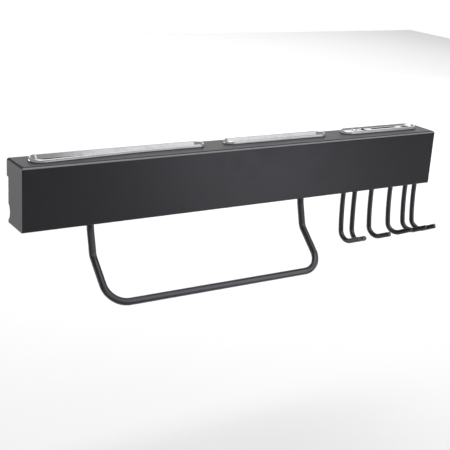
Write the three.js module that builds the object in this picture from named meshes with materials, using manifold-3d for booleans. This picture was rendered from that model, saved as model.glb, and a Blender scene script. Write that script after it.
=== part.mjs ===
// Wall tool rail for a hair station: a folded steel box that hangs on keyhole screws, with two drop-in
// liners and a perforated tool deck on top, a towel bar below, and six hooks that slide and swivel.
// Millimetres. X runs along the rail, Y towards the wall and Z up. The origin is the middle of the
// rear flange's wall face.

import * as THREE from 'three';
import { mergeVertices } from 'three/addons/utils/BufferGeometryUtils.js';
import Module from 'manifold-3d';

const wasm = await Module();
wasm.setup();

// ---- driving dimensions ----

// rail body
const railLength = 560;
const railHeight = 70;
const railDepth = 40;         // front face to the rear edge of the end plates
const wallStandoff = 4.5;     // the end plates' rear edge stays this far off the wall
const sheet = 1.5;
const bendRadius = 3;         // outside radius of the top bends
const flangeHeight = 20;      // rear flange, flat on the wall
const lipDepth = 3;           // return along the bottom of the front panel
const lipRadius = 2;
const fit = 0.3;              // clearance between neighbouring pieces
const past = 2;               // a cutter runs this far past the face it opens

const topZ = flangeHeight / 2;
const bottomZ = topZ - railHeight;
const frontY = -(railDepth + wallStandoff);
const plateRearY = -wallStandoff;
const endX = railLength / 2;
const innerEndX = endX - sheet;

// finger hollow in the rear edge of each end plate
const hollowBottom = 4;
const hollowHeight = 16.5;
const hollowDepth = 4.3;

// pressed relief in the front panel, in its two top corners
const reliefRadius = 0.8;
const reliefInset = 1.6;      // from the end of the rail
const reliefDrop = 3.4;       // from the top

// keyholes in the rear flange
const keyholeSpots = [-220, -75, 75, 220];
const keyholeEntryRadius = 4.5;
const keyholeSlotRadius = 2.4;
const keyholeEntryZ = -3.5;
const keyholeTopZ = 4;

// openings along the top, from the left end
const insertY = frontY + 27.8;
const insertGap = 27;
const leftMargin = 15.5;
// rimWidth is the width of the rim seen from above. The long insert's left end is wider than the rest:
// its front side slopes in from there to the knee, measured from the insert's middle.
const longInsert = { length: 212, halfWidth: 9.8, leftHalfWidth: 13.4, knee: 18, rimWidth: 2.8 };
const shortInsert = { length: 146, halfWidth: 9.8, leftHalfWidth: 9.8, knee: 0, rimWidth: 2.8 };
const deckInsert = { length: 120.5, halfWidth: 11.2, leftHalfWidth: 11.2, knee: 0, rimWidth: 4.6 };
const rimHeight = 3.2;
const rimEdge = 1.2;          // chamfer on both sides of the rim
const linerWall = 1;
const linerDepth = 42;
const linerTaper = 0.6;
const funnelWidth = 3;        // the mouth of a liner narrows to its cup by this much on each side
const funnelDepth = 5;        // below the rim's top
const deckThickness = 1.8;
const deckDrop = 1.2;         // the deck lies this far below its rim
const deckInset = 2.4;        // outside of the rim to the foot of its inner slope
const skirtDepth = 12;

// openings of the deck, about its own middle: two comb tail holes, a shears slot set askew beside
// them, a long comb slot and an oval razor slot
const tailHoles = [
  { x: -37, y: 3.2, radius: 2.4 },
  { x: -24.5, y: 4, radius: 2.3 },
];
const shearsSlot = { x: -25.2, y: -2.8, reach: 2.6, radius: 2.4, askew: -62 };
const combSlot = { x0: -12, x1: 29, y: 0.6, halfWidth: 2.5 };
const razorSlot = { x0: 37, x1: 49.6, y: -0.6, halfWidth: 3 };

// bottom tray
const trayFloorZ = bottomZ + sheet + fit;
const trayTopZ = trayFloorZ + sheet;
const trayLipHeight = 10.5;
const trayEndX = innerEndX - fit;
const trayFrontY = frontY + sheet + fit;
const trayRadius = 2;
const trayRearLipX = 262;     // the rear lip stops here, clear of the tabs
const trayRearLipDepth = 7.5;
const tabGap = 0.6;
const tabReach = 14;
const tabFrontY = -27;
const tabRearY = -8;
const screwX = innerEndX - tabReach / 2;
const screwYs = [-22.5, -12.5];
const screwShankRadius = 1.9;
const screwHeadRadius = 3.7;
const screwLength = 7;
const screwTip = 0.6;

// towel bar
const barRadius = 4.1;
const barLegX = [-195, 87.4];
const barLegY = frontY + 20;
const barThreadTop = bottomZ + 14;
const barUpright = 3;         // below the rail, before a leg leans forward
const barLean = 16;           // degrees
const barLeanRadius = 43;
const barDrop = 22.6;         // straight leaning part of a leg
const barElbowRadius = 12;
const barSlope = 41.4;        // degrees below level
const barReach = 56.8;        // from the elbow to the cross bar's centreline
const barCornerRadius = 24.3;
const nutHalfFlats = 6.5;
const nutHeight = 6.5;
const jamNutHeight = 4;
const washerRadius = 8;
const washerThickness = 1.6;

// hooks
const hookRadius = 3.1;
const hookY = frontY + 9.5;
const hooks = [
  { x: 146.4, heading: 7 },
  { x: 164.7, heading: -9 },
  { x: 192.1, heading: 15 },
  { x: 223.7, heading: 31 },
  { x: 249.3, heading: 29.5 },
  { x: 265.2, heading: 29.5 },
];
const hookTopZ = bottomZ + 9.2;
const hookStraight = 8;       // below the rail, before the shank bows forward
const hookBowRadius = 397;
const hookBow = 6.2;
const hookBendRadius = 12.2;
const hookRise = 24.8;        // degrees above level at the foot
const hookFoot = 17.2;
const slotHalfWidth = 4.3;
const slotLeftX = 115;
const slotRightX = 272;

// nylon glide and push-on cap of a hook
const glideRadius = 5.7;
const glideNeckRadius = 4;
const glideBoreRadius = hookRadius + fit;
const glideFlange = 1.7;
const capRadius = 5.2;
const capHeight = 4;
const capEdge = 1;
const capCrown = 0.4;

// rubber wall pads
const padSpots = [-180, 180];
const padRadius = 5;
const padZ = bottomZ + 9;

// ---- finishes ----

const blackSteel = { color: 0x37373b, roughness: 0.45, metalness: 0.1 };
const blackRod = { color: 0x232327, roughness: 0.38, metalness: 0.1 };
const chrome = { color: 0xd9dadd, roughness: 0.12, metalness: 1 };
const zincSteel = { color: 0xa9abae, roughness: 0.35, metalness: 1 };
const blackNylon = { color: 0x1c1c1e, roughness: 0.55, metalness: 0 };
const blackRubber = { color: 0x161617, roughness: 0.85, metalness: 0 };

const rail = new THREE.Group();

function addPiece(name, geometry, finish, parent = rail) {
  const piece = new THREE.Mesh(geometry, new THREE.MeshStandardMaterial(finish));
  piece.name = name;
  parent.add(piece);
  return piece;
}

// ---- solids ----

const weld = 1e-4;

function toSolid(geometry) {
  const bare = geometry.clone();
  bare.deleteAttribute('normal');
  bare.deleteAttribute('uv');
  const merged = mergeVertices(bare, weld);
  return new wasm.Manifold(new wasm.Mesh({
    numProp: 3,
    vertProperties: new Float32Array(merged.attributes.position.array),
    triVerts: new Uint32Array(merged.index.array),
  }));
}

function toGeometry(solid) {
  const mesh = solid.getMesh();
  const geometry = new THREE.BufferGeometry();
  geometry.setAttribute('position', new THREE.BufferAttribute(mesh.vertProperties, 3));
  geometry.setIndex(new THREE.BufferAttribute(mesh.triVerts, 1));
  geometry.computeVertexNormals();
  return geometry;
}

function block(x0, x1, y0, y1, z0, z1) {
  const geometry = new THREE.BoxGeometry(x1 - x0, y1 - y0, z1 - z0);
  geometry.translate((x0 + x1) / 2, (y0 + y1) / 2, (z0 + z1) / 2);
  return toSolid(geometry);
}

// A plan outline (x, y) pulled up from z0 to z1.
function upright(shape, z0, z1, curveSegments = 6) {
  const geometry = new THREE.ExtrudeGeometry(shape, { depth: z1 - z0, bevelEnabled: false, curveSegments });
  geometry.translate(0, 0, z0);
  return toSolid(geometry);
}

// A side outline (y, z) pulled along X from x0 to x1.
function lengthwise(shape, x0, x1, curveSegments = 4) {
  const geometry = new THREE.ExtrudeGeometry(shape, { depth: x1 - x0, bevelEnabled: false, curveSegments });
  const alongX = new THREE.Matrix4().makeBasis(
    new THREE.Vector3(0, 1, 0),
    new THREE.Vector3(0, 0, 1),
    new THREE.Vector3(1, 0, 0),
  );
  geometry.applyMatrix4(alongX);
  geometry.translate(x0, 0, 0);
  return toSolid(geometry);
}

// A front outline (x, z) pulled along Y from y0 to y1.
function crosswise(shape, y0, y1, curveSegments = 4) {
  const geometry = new THREE.ExtrudeGeometry(shape, { depth: y1 - y0, bevelEnabled: false, curveSegments });
  geometry.rotateX(Math.PI / 2);
  geometry.translate(0, y1, 0);
  return toSolid(geometry);
}

// Rectangle with its own radius at the two lower and the two upper corners.
function roundedRectangle(x0, x1, y0, y1, lowerRadius, upperRadius) {
  const shape = new THREE.Shape();
  shape.moveTo(x0 + lowerRadius, y0);
  shape.lineTo(x1 - lowerRadius, y0);
  shape.absarc(x1 - lowerRadius, y0 + lowerRadius, lowerRadius, -Math.PI / 2, 0);
  shape.lineTo(x1, y1 - upperRadius);
  shape.absarc(x1 - upperRadius, y1 - upperRadius, upperRadius, 0, Math.PI / 2);
  shape.lineTo(x0 + upperRadius, y1);
  shape.absarc(x0 + upperRadius, y1 - upperRadius, upperRadius, Math.PI / 2, Math.PI);
  shape.lineTo(x0, y0 + lowerRadius);
  shape.absarc(x0 + lowerRadius, y0 + lowerRadius, lowerRadius, Math.PI, Math.PI * 1.5);
  return shape;
}

// Stadium outline whose round ends reach x0 and x1.
function stadium(x0, x1, y, halfWidth) {
  const shape = new THREE.Shape();
  shape.absarc(x1 - halfWidth, y, halfWidth, -Math.PI / 2, Math.PI / 2);
  shape.lineTo(x0 + halfWidth, y + halfWidth);
  shape.absarc(x0 + halfWidth, y, halfWidth, Math.PI / 2, Math.PI * 1.5);
  return shape;
}

function disc(x, y, radius) {
  return new THREE.Shape().absarc(x, y, radius, 0, Math.PI * 2);
}

// Turned piece about Z from a profile of [radius, z] pairs.
function turned(profile, segments = 20) {
  const geometry = new THREE.LatheGeometry(profile.map(([r, z]) => new THREE.Vector2(r, z)), segments);
  geometry.rotateX(Math.PI / 2);
  return toGeometry(toSolid(geometry));
}

// Plan of an insert about its own middle, at a distance in from its outer edge.
function insertPlan(insert, inset) {
  const right = insert.length / 2 - insert.halfWidth;
  const left = insert.leftHalfWidth - insert.length / 2;
  const leftY = insert.halfWidth - insert.leftHalfWidth;
  const shape = new THREE.Shape();
  shape.moveTo(insert.knee, inset - insert.halfWidth);
  shape.absarc(right, 0, insert.halfWidth - inset, -Math.PI / 2, Math.PI / 2);
  shape.absarc(left, leftY, insert.leftHalfWidth - inset, Math.PI / 2, Math.PI * 1.5);
  return shape.getPoints(12);
}

// Skin over plans of an insert, one for each [inset, z] of the profile. The first plan is closed as
// the underside and the last one as the top.
function lofted(insert, profile) {
  const plans = profile.map(([inset]) => insertPlan(insert, inset));
  const count = plans[0].length;
  const places = plans.flatMap((plan, r) => plan.flatMap((point) => [point.x, point.y, profile[r][1]]));
  const index = [];
  for (let r = 0; r < plans.length - 1; r += 1) {
    for (let i = 0; i < count; i += 1) {
      const here = r * count + i;
      const next = r * count + (i + 1) % count;
      index.push(here, next, next + count, here, next + count, here + count);
    }
  }
  const top = count * (plans.length - 1);
  for (const [a, b, c] of THREE.ShapeUtils.triangulateShape(plans[0], [])) {
    index.push(c, b, a);
  }
  for (const [a, b, c] of THREE.ShapeUtils.triangulateShape(plans[plans.length - 1], [])) {
    index.push(top + a, top + b, top + c);
  }
  const geometry = new THREE.BufferGeometry();
  geometry.setAttribute('position', new THREE.Float32BufferAttribute(places, 3));
  geometry.setIndex(index);
  return toSolid(geometry);
}

// ---- rods ----

// A centreline kept as stations, each a point and a heading: one at each end of a straight and one
// every few degrees round a bend.
class RodPath extends THREE.Curve {
  constructor(start, heading) {
    super();
    this.stations = [{ point: start.clone(), heading: heading.clone().normalize() }];
  }

  get last() {
    return this.stations[this.stations.length - 1];
  }

  straight(length) {
    const { point, heading } = this.last;
    this.stations.push({
      point: point.clone().addScaledVector(heading, length),
      heading: heading.clone(),
    });
    return this;
  }

  bend(axis, degrees, radius, steps) {
    const { point, heading } = this.last;
    const toCentre = new THREE.Vector3()
      .crossVectors(axis, heading)
      .multiplyScalar(radius * Math.sign(degrees));
    const centre = point.clone().add(toCentre);
    for (let i = 1; i <= steps; i += 1) {
      const angle = THREE.MathUtils.degToRad(degrees) * i / steps;
      this.stations.push({
        point: toCentre.clone().negate().applyAxisAngle(axis, angle).add(centre),
        heading: heading.clone().applyAxisAngle(axis, angle),
      });
    }
    return this;
  }

  station(u) {
    return this.stations[Math.round(u * (this.stations.length - 1))];
  }

  getPointAt(u, target = new THREE.Vector3()) {
    return target.copy(this.station(u).point);
  }

  getTangentAt(u, target = new THREE.Vector3()) {
    return target.copy(this.station(u).heading);
  }
}

function rod(path, radius, halfSides = 6) {
  return new THREE.ExtrudeGeometry(disc(0, 0, radius), {
    steps: path.stations.length - 1,
    curveSegments: halfSides,
    bevelEnabled: false,
    extrudePath: path,
  });
}

// ---- places of the three inserts ----

const longLeft = -endX + leftMargin;
const shortLeft = longLeft + longInsert.length + insertGap;
const deckLeft = shortLeft + shortInsert.length + insertGap;
longInsert.x = longLeft + longInsert.length / 2;
shortInsert.x = shortLeft + shortInsert.length / 2;
deckInsert.x = deckLeft + deckInsert.length / 2;
const inserts = [longInsert, shortInsert, deckInsert];

// The opening in the sheet, in from the insert's outer edge.
function openingInset(insert) {
  return insert.rimWidth - linerWall - fit;
}

// ---- rail body: one folded sheet ----

function bodySideOutline() {
  const hollowTop = bottomZ + hollowBottom + hollowHeight;
  const hollowMid = hollowTop - hollowHeight / 2;
  const hollowY = plateRearY - hollowDepth;
  const shape = new THREE.Shape();
  shape.moveTo(frontY + lipRadius, bottomZ);
  shape.lineTo(plateRearY, bottomZ);
  shape.lineTo(plateRearY, bottomZ + hollowBottom);
  shape.quadraticCurveTo(hollowY, bottomZ + hollowBottom, hollowY, hollowMid);
  shape.quadraticCurveTo(hollowY, hollowTop, plateRearY, hollowTop);
  shape.lineTo(plateRearY, -topZ);
  shape.lineTo(0, -topZ);
  shape.lineTo(0, topZ - bendRadius);
  shape.absarc(-bendRadius, topZ - bendRadius, bendRadius, 0, Math.PI / 2);
  shape.lineTo(frontY + bendRadius, topZ);
  shape.absarc(frontY + bendRadius, topZ - bendRadius, bendRadius, Math.PI / 2, Math.PI);
  shape.lineTo(frontY, bottomZ + lipRadius);
  shape.absarc(frontY + lipRadius, bottomZ + lipRadius, lipRadius, Math.PI, Math.PI * 1.5);
  return shape;
}

// Everything inside the sheet, open at the back below the rear flange.
function bodyHollowOutline() {
  const radius = bendRadius - sheet;
  const shape = new THREE.Shape();
  shape.moveTo(frontY + sheet, bottomZ + sheet);
  shape.lineTo(sheet, bottomZ + sheet);
  shape.lineTo(sheet, -topZ);
  shape.lineTo(-sheet, -topZ);
  shape.lineTo(-sheet, topZ - bendRadius);
  shape.absarc(-bendRadius, topZ - bendRadius, radius, 0, Math.PI / 2);
  shape.lineTo(frontY + bendRadius, topZ - sheet);
  shape.absarc(frontY + bendRadius, topZ - bendRadius, radius, Math.PI / 2, Math.PI);
  return shape;
}

// The bottom opening, with a screw tab left standing at each end.
function bodyFloorOutline() {
  const y0 = frontY + lipDepth;
  const y1 = past;
  const tabX = innerEndX - tabReach;
  const shape = new THREE.Shape();
  shape.moveTo(-innerEndX, y0);
  shape.lineTo(innerEndX, y0);
  shape.lineTo(innerEndX, tabFrontY);
  shape.lineTo(tabX, tabFrontY);
  shape.lineTo(tabX, tabRearY);
  shape.lineTo(innerEndX, tabRearY);
  shape.lineTo(innerEndX, y1);
  shape.lineTo(-innerEndX, y1);
  shape.lineTo(-innerEndX, tabRearY);
  shape.lineTo(-tabX, tabRearY);
  shape.lineTo(-tabX, tabFrontY);
  shape.lineTo(-innerEndX, tabFrontY);
  return shape;
}

function keyhole(x) {
  const half = Math.asin(keyholeSlotRadius / keyholeEntryRadius);
  const shape = new THREE.Shape();
  shape.absarc(x, keyholeTopZ, keyholeSlotRadius, 0, Math.PI);
  shape.absarc(x, keyholeEntryZ, keyholeEntryRadius, Math.PI / 2 + half, Math.PI * 2.5 - half);
  return shape;
}

function screwSpots() {
  return [-screwX, screwX].flatMap((x) => screwYs.map((y) => ({ x, y })));
}

function bodyShell() {
  const outside = roundedRectangle(-endX, endX, bottomZ, topZ, sheet, bendRadius);
  const inside = roundedRectangle(
    -innerEndX,
    innerEndX,
    bottomZ - past,
    topZ - sheet,
    sheet / 2,
    bendRadius - sheet,
  );
  const hollow = lengthwise(bodyHollowOutline(), -innerEndX, innerEndX)
    .intersect(crosswise(inside, frontY, past));
  let body = lengthwise(bodySideOutline(), -endX, endX)
    .intersect(crosswise(outside, frontY - past, past));
  body = body.subtract(hollow);
  body = body.subtract(upright(bodyFloorOutline(), bottomZ - past, bottomZ + sheet));
  for (const insert of inserts) {
    const place = new THREE.Vector2(insert.x, insertY);
    const plan = insertPlan(insert, openingInset(insert)).map((point) => point.add(place));
    body = body.subtract(upright(new THREE.Shape(plan), topZ - sheet - past, topZ + past));
  }
  for (const x of keyholeSpots) {
    body = body.subtract(crosswise(keyhole(x), -past, past));
  }
  for (const side of [-1, 1]) {
    const relief = disc(side * (endX - reliefInset), topZ - reliefDrop, reliefRadius);
    body = body.subtract(crosswise(relief, frontY - past, frontY + past));
  }
  for (const { x, y } of screwSpots()) {
    body = body.subtract(screwHole(x, y));
  }
  return toGeometry(body);
}

// ---- bottom tray and its screws ----

function screwHole(x, y) {
  const sink = screwHeadRadius - screwShankRadius;
  const hole = new THREE.LatheGeometry([
    new THREE.Vector2(0, bottomZ - past),
    new THREE.Vector2(screwHeadRadius + fit + past, bottomZ - past),
    new THREE.Vector2(screwShankRadius + fit, bottomZ + sink),
    new THREE.Vector2(screwShankRadius + fit, trayTopZ + past),
    new THREE.Vector2(0, trayTopZ + past),
  ], 12);
  hole.rotateX(Math.PI / 2);
  hole.translate(x, y, 0);
  return toSolid(hole);
}

function bottomTray() {
  const lipTop = trayTopZ + trayLipHeight;
  const over = lipTop + 2 * past;
  const innerRadius = trayRadius - sheet;
  const outside = roundedRectangle(trayFrontY, plateRearY, trayFloorZ, over, trayRadius, innerRadius);
  const inside = roundedRectangle(
    trayFrontY + sheet,
    plateRearY - sheet,
    trayTopZ,
    over,
    innerRadius,
    innerRadius,
  );
  let tray = lengthwise(outside, -trayEndX, trayEndX)
    .intersect(block(-trayEndX, trayEndX, trayFrontY - past, 0, trayFloorZ - past, lipTop));
  tray = tray.subtract(lengthwise(inside, -trayEndX + sheet, trayEndX - sheet));
  for (const side of [-1, 1]) {
    const x0 = Math.min(side * trayRearLipX, side * (trayEndX + past));
    const x1 = Math.max(side * trayRearLipX, side * (trayEndX + past));
    tray = tray.subtract(block(x0, x1, plateRearY - trayRearLipDepth, 0, trayTopZ + tabGap, over));
  }
  const openings = [stadium(slotLeftX, slotRightX, hookY, slotHalfWidth)];
  for (const x of barLegX) {
    openings.push(disc(x, barLegY, barRadius + fit));
  }
  for (const { x, y } of screwSpots()) {
    openings.push(disc(x, y, screwShankRadius + fit));
  }
  for (const opening of openings) {
    tray = tray.subtract(upright(opening, trayFloorZ - past, trayTopZ + past));
  }
  return toGeometry(tray);
}

function trayScrew() {
  return turned([
    [0, 0],
    [screwHeadRadius, 0],
    [screwShankRadius, screwHeadRadius - screwShankRadius],
    [screwShankRadius, screwLength - screwTip],
    [screwShankRadius - screwTip, screwLength],
    [0, screwLength],
  ], 12);
}

// ---- inserts ----

// Rim over the sheet, a mouth that funnels in, and a cup below it, closed at the bottom.
function liner(insert) {
  const seat = topZ + fit;
  const crown = topZ + rimHeight;
  const outer = insert.rimWidth - linerWall;
  const inner = insert.rimWidth;
  const foot = topZ - linerDepth;
  return toGeometry(lofted(insert, [
    [outer + funnelWidth + linerTaper, foot],
    [outer + funnelWidth, crown - funnelDepth],
    [outer, seat],
    [0, seat],
    [0, crown - rimEdge],
    [rimEdge, crown],
    [inner - rimEdge, crown],
    [inner, crown - rimEdge],
    [inner + funnelWidth, crown - funnelDepth],
    [inner + funnelWidth + linerTaper, foot + linerWall],
  ]));
}

// Perforated deck inside the same rim, with a short open skirt that locates it in the sheet.
function toolDeck(insert) {
  const seat = topZ + fit;
  const crown = topZ + rimHeight;
  const outer = insert.rimWidth - linerWall;
  const inner = insert.rimWidth;
  const deckTop = crown - deckDrop;
  let solid = lofted(insert, [
    [inner, deckTop - deckThickness],
    [inner, topZ - skirtDepth],
    [outer, topZ - skirtDepth],
    [outer, seat],
    [0, seat],
    [0, crown - rimEdge],
    [rimEdge, crown],
    [deckInset, crown],
    [deckInset + deckDrop, deckTop],
  ]);
  for (const shape of deckOpenings()) {
    solid = solid.subtract(upright(shape, deckTop - deckThickness - past, crown + past, 5));
  }
  return toGeometry(solid);
}

function deckOpenings() {
  const { x, y, reach, radius } = shearsSlot;
  const askew = THREE.MathUtils.degToRad(shearsSlot.askew);
  const along = new THREE.Vector2(reach, 0).rotateAround(new THREE.Vector2(), askew);
  const shears = new THREE.Shape();
  shears.absarc(x + along.x, y + along.y, radius, askew - Math.PI / 2, askew + Math.PI / 2);
  shears.absarc(x - along.x, y - along.y, radius, askew + Math.PI / 2, askew + Math.PI * 1.5);
  return [
    ...tailHoles.map((hole) => disc(hole.x, hole.y, hole.radius)),
    shears,
    stadium(combSlot.x0, combSlot.x1, combSlot.y, combSlot.halfWidth),
    stadium(razorSlot.x0, razorSlot.x1, razorSlot.y, razorSlot.halfWidth),
  ];
}

function addInserts() {
  const pieces = [
    ['long_liner', liner(longInsert), longInsert],
    ['short_liner', liner(shortInsert), shortInsert],
    ['tool_deck', toolDeck(deckInsert), deckInsert],
  ];
  for (const [name, geometry, insert] of pieces) {
    addPiece(name, geometry, chrome).position.set(insert.x, insertY, 0);
  }
}

// ---- towel bar and its nuts ----

function towelBar() {
  const across = new THREE.Vector3(1, 0, 0);
  const elbow = 90 - barSlope - barLean;
  const elbowSteps = 4;
  const cornerSteps = 7;
  const slopeAngle = THREE.MathUtils.degToRad(barSlope);
  // normal of the sloping plane that the U lies in
  const face = new THREE.Vector3(0, -Math.sin(slopeAngle), Math.cos(slopeAngle));
  const legTop = new THREE.Vector3(barLegX[0], barLegY, barThreadTop);
  const uprightLength = barThreadTop - bottomZ + barUpright;
  const run = barReach - barCornerRadius;
  const crossLength = barLegX[1] - barLegX[0] - 2 * barCornerRadius;
  const path = new RodPath(legTop, new THREE.Vector3(0, 0, -1))
    .straight(uprightLength)
    .bend(across, -barLean, barLeanRadius, elbowSteps)
    .straight(barDrop)
    .bend(across, -elbow, barElbowRadius, elbowSteps)
    .straight(run)
    .bend(face, 90, barCornerRadius, cornerSteps)
    .straight(crossLength)
    .bend(face, 90, barCornerRadius, cornerSteps)
    .straight(run)
    .bend(across, elbow, barElbowRadius, elbowSteps)
    .straight(barDrop)
    .bend(across, barLean, barLeanRadius, elbowSteps)
    .straight(uprightLength);
  return rod(path, barRadius, 8);
}

function hexNut(height) {
  const sides = 6;
  const corner = new THREE.Vector2(nutHalfFlats / Math.cos(Math.PI / sides), 0);
  const corners = Array.from({ length: sides }, (_, i) => (
    corner.clone().rotateAround(new THREE.Vector2(), i * Math.PI * 2 / sides)
  ));
  const shape = new THREE.Shape(corners);
  shape.holes.push(disc(0, 0, barRadius + fit));
  return new THREE.ExtrudeGeometry(shape, { depth: height, bevelEnabled: false, curveSegments: 6 });
}

function washer() {
  const shape = disc(0, 0, washerRadius);
  shape.holes.push(disc(0, 0, barRadius + fit));
  return new THREE.ExtrudeGeometry(shape, {
    depth: washerThickness,
    bevelEnabled: false,
    curveSegments: 8,
  });
}

function addTowelBar() {
  addPiece('towel_bar', towelBar(), blackRod);
  const washerZ = trayTopZ + fit;
  ['left', 'right'].forEach((side, i) => {
    const x = barLegX[i];
    addPiece(`bar_washer_${side}`, washer(), zincSteel).position.set(x, barLegY, washerZ);
    addPiece(`bar_nut_${side}`, hexNut(nutHeight), zincSteel)
      .position.set(x, barLegY, washerZ + washerThickness + fit);
    addPiece(`bar_jam_nut_${side}`, hexNut(jamNutHeight), zincSteel)
      .position.set(x, barLegY, trayFloorZ - fit - jamNutHeight);
  });
}

// ---- hooks, glides and caps ----

function hook() {
  const across = new THREE.Vector3(1, 0, 0);
  const bowSteps = 3;
  const bendSteps = 9;
  const path = new RodPath(new THREE.Vector3(0, 0, hookTopZ), new THREE.Vector3(0, 0, -1))
    .straight(hookTopZ - bottomZ + hookStraight)
    .bend(across, -hookBow, hookBowRadius, bowSteps)
    .bend(across, -(90 + hookRise - hookBow), hookBendRadius, bendSteps)
    .straight(hookFoot);
  return rod(path, hookRadius, 6);
}

function glide() {
  const low = trayFloorZ - fit;
  const high = trayTopZ + fit;
  return turned([
    [glideBoreRadius, low - glideFlange],
    [glideRadius, low - glideFlange],
    [glideRadius, low],
    [glideNeckRadius, low],
    [glideNeckRadius, high],
    [glideRadius, high],
    [glideRadius, high + glideFlange],
    [glideBoreRadius, high + glideFlange],
    [glideBoreRadius, low - glideFlange],
  ], 16);
}

function cap() {
  const foot = trayTopZ + fit + glideFlange + fit;
  const roof = hookTopZ + fit;
  return turned([
    [0, roof],
    [glideBoreRadius, roof],
    [glideBoreRadius, foot],
    [capRadius, foot],
    [capRadius, foot + capHeight - capEdge],
    [capRadius - capEdge, foot + capHeight],
    [0, foot + capHeight + capCrown],
  ], 16);
}

function addHooks() {
  hooks.forEach(({ x, heading }, i) => {
    const stand = new THREE.Group();
    stand.position.set(x, hookY, 0);
    stand.rotation.z = THREE.MathUtils.degToRad(heading);
    rail.add(stand);
    addPiece(`hook_${i + 1}`, hook(), blackRod, stand);
    addPiece(`hook_cap_${i + 1}`, cap(), zincSteel, stand);
    addPiece(`hook_glide_${i + 1}`, glide(), blackNylon, stand);
  });
}

// ---- wall pads ----

function addWallPads() {
  ['left', 'right'].forEach((side, i) => {
    const thickness = wallStandoff - fit;
    const pad = new THREE.CylinderGeometry(padRadius, padRadius, thickness, 20);
    pad.translate(0, -thickness / 2, 0);
    addPiece(`wall_pad_${side}`, pad, blackRubber).position.set(padSpots[i], 0, padZ);
  });
}

// ---- the assembly ----

addPiece('body_shell', bodyShell(), blackSteel);
addPiece('bottom_tray', bottomTray(), blackSteel);
screwSpots().forEach(({ x, y }, i) => {
  addPiece(`tray_screw_${i + 1}`, trayScrew(), zincSteel).position.set(x, y, bottomZ);
});
addInserts();
addTowelBar();
addHooks();
addWallPads();

export default rail;
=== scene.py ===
import math

import bpy
from mathutils import Matrix, Vector


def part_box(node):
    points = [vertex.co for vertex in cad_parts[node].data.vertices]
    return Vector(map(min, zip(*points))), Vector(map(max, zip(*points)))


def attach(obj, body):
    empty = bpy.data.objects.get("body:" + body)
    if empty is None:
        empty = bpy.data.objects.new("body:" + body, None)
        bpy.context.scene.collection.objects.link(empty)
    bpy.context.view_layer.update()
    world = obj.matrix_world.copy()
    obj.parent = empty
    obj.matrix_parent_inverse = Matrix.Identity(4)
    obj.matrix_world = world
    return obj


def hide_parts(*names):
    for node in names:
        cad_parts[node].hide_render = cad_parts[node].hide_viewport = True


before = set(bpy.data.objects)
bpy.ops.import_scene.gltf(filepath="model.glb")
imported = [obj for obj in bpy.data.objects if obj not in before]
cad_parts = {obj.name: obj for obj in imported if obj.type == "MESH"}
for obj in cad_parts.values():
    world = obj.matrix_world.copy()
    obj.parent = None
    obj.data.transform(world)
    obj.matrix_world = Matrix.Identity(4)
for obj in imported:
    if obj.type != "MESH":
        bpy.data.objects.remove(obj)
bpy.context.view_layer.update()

# Wall tool rail for a hair station. Metres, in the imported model's frame: X along the rail,
# Y into the wall, Z up. Sizes in the dictionaries are metres too.

mm = 0.001
near = 0.01 * mm
up = Vector((0, 0, 1))
along = Vector((1, 0, 0))


# working in object and edit mode

def deselectAll():
    if bpy.context.object and bpy.context.object.mode != "OBJECT":
        bpy.ops.object.mode_set(mode="OBJECT")
    bpy.ops.object.select_all(action="DESELECT")


def pick(piece):
    deselectAll()
    piece.select_set(True)
    bpy.context.view_layer.objects.active = piece


def settle(piece):  # the place and size go into the mesh
    pick(piece)
    bpy.ops.object.transform_apply(location=True, rotation=True, scale=True)


def choose(piece, kind, test):  # edit mode, with what passes the test selected
    pick(piece)
    bpy.ops.object.mode_set(mode="EDIT")
    bpy.ops.mesh.select_mode(type=kind)
    bpy.ops.mesh.select_all(action="DESELECT")
    bpy.ops.object.mode_set(mode="OBJECT")
    mesh = piece.data
    if kind == "FACE":
        for face in mesh.polygons:
            face.select = test(face.center, face.normal)
    elif kind == "EDGE":
        for edge in mesh.edges:
            start, end = (mesh.vertices[i].co for i in edge.vertices)
            edge.select = test(start, end)
    else:
        for vertex in mesh.vertices:
            vertex.select = test(vertex.co)
    bpy.ops.object.mode_set(mode="EDIT")


def chooseAll(piece):
    pick(piece)
    bpy.ops.object.mode_set(mode="EDIT")
    bpy.ops.mesh.select_all(action="SELECT")


def addBlock(name, low, high):
    deselectAll()
    low, high = Vector(low), Vector(high)
    bpy.ops.mesh.primitive_cube_add(size=1, location=(low + high) / 2)
    piece = bpy.context.object
    piece.name = name
    piece.scale = high - low
    settle(piece)
    return piece


def addDrum(name, radius, centre, depth, axis="Z", sides=32, turn=0.0):
    deselectAll()
    lean = {"Z": (0, 0, turn), "Y": (math.pi / 2, turn, 0), "X": (0, math.pi / 2, turn)}[axis]
    bpy.ops.mesh.primitive_cylinder_add(
        vertices=sides, radius=radius, depth=depth, location=centre, rotation=lean)
    piece = bpy.context.object
    piece.name = name
    settle(piece)
    return piece


def addStadium(name, low, high, segments=14):  # a block whose short ends are full rounds
    piece = addBlock(name, low, high)
    halfWidth = (high[1] - low[1]) / 2
    choose(piece, "EDGE", lambda a, b: abs(a.z - b.z) > 1e-6)
    bpy.ops.mesh.bevel(offset=halfWidth, segments=segments, affect="EDGES", clamp_overlap=True)
    bpy.ops.mesh.select_all(action="SELECT")
    bpy.ops.mesh.remove_doubles(threshold=1e-5)
    bpy.ops.object.mode_set(mode="OBJECT")
    return piece


def useModifier(piece, kind, **settings):
    pick(piece)
    modifier = piece.modifiers.new(kind.title(), kind)
    for name, value in settings.items():
        setattr(modifier, name, value)
    bpy.ops.object.modifier_apply(modifier=modifier.name)


def cutAway(piece, cutter, operation="DIFFERENCE"):
    useModifier(piece, "BOOLEAN", operation=operation, solver="EXACT", object=cutter)
    bpy.data.objects.remove(cutter)


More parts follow.
